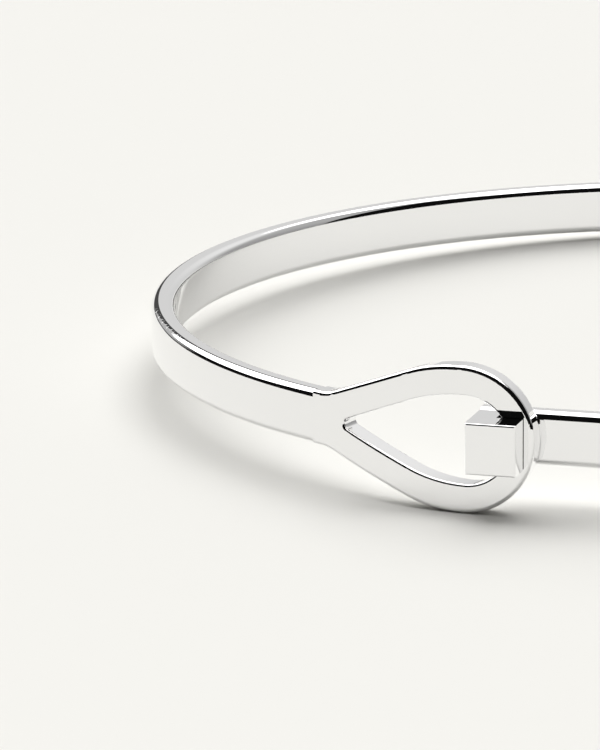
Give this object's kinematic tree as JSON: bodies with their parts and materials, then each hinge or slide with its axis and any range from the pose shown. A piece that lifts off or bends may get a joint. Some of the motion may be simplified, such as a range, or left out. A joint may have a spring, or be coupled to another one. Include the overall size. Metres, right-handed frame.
{
  "type": "hinged bangle bracelet",
  "caption": "Slim polished metal bangle: a flat band flares into a teardrop loop, and a square hook on the other arm passes through it; the arms open on a small hinge.",
  "frame": {"origin": "centre of the ring, halfway up the band", "axes": "+Z along the wearer's wrist, -Y towards the clasp, +Y towards the hinge, the loop arm on the -X side"},
  "size_m": [0.0608, 0.0633, 0.0076],
  "materials": {
    "polished_metal": "mirror polished",
    "hinge_steel": "polished"
  },
  "bodies": {
    "loop_arm": {"loop_band": "polished_metal", "teardrop_loop": "polished_metal", "top_knuckle": "polished_metal", "bottom_knuckle": "polished_metal", "hinge_pin": "hinge_steel"},
    "hook_arm": {"hook_band": "polished_metal", "hook": "polished_metal", "middle_knuckle": "polished_metal"}
  },
  "joints": [
    {"name": "arm_hinge", "type": "hinge", "parent": "loop_arm", "child": "hook_arm", "pos_m": [0, 0.03036, 0], "axis": [0, 0, 1], "range_deg": [0, 65]}
  ]
}
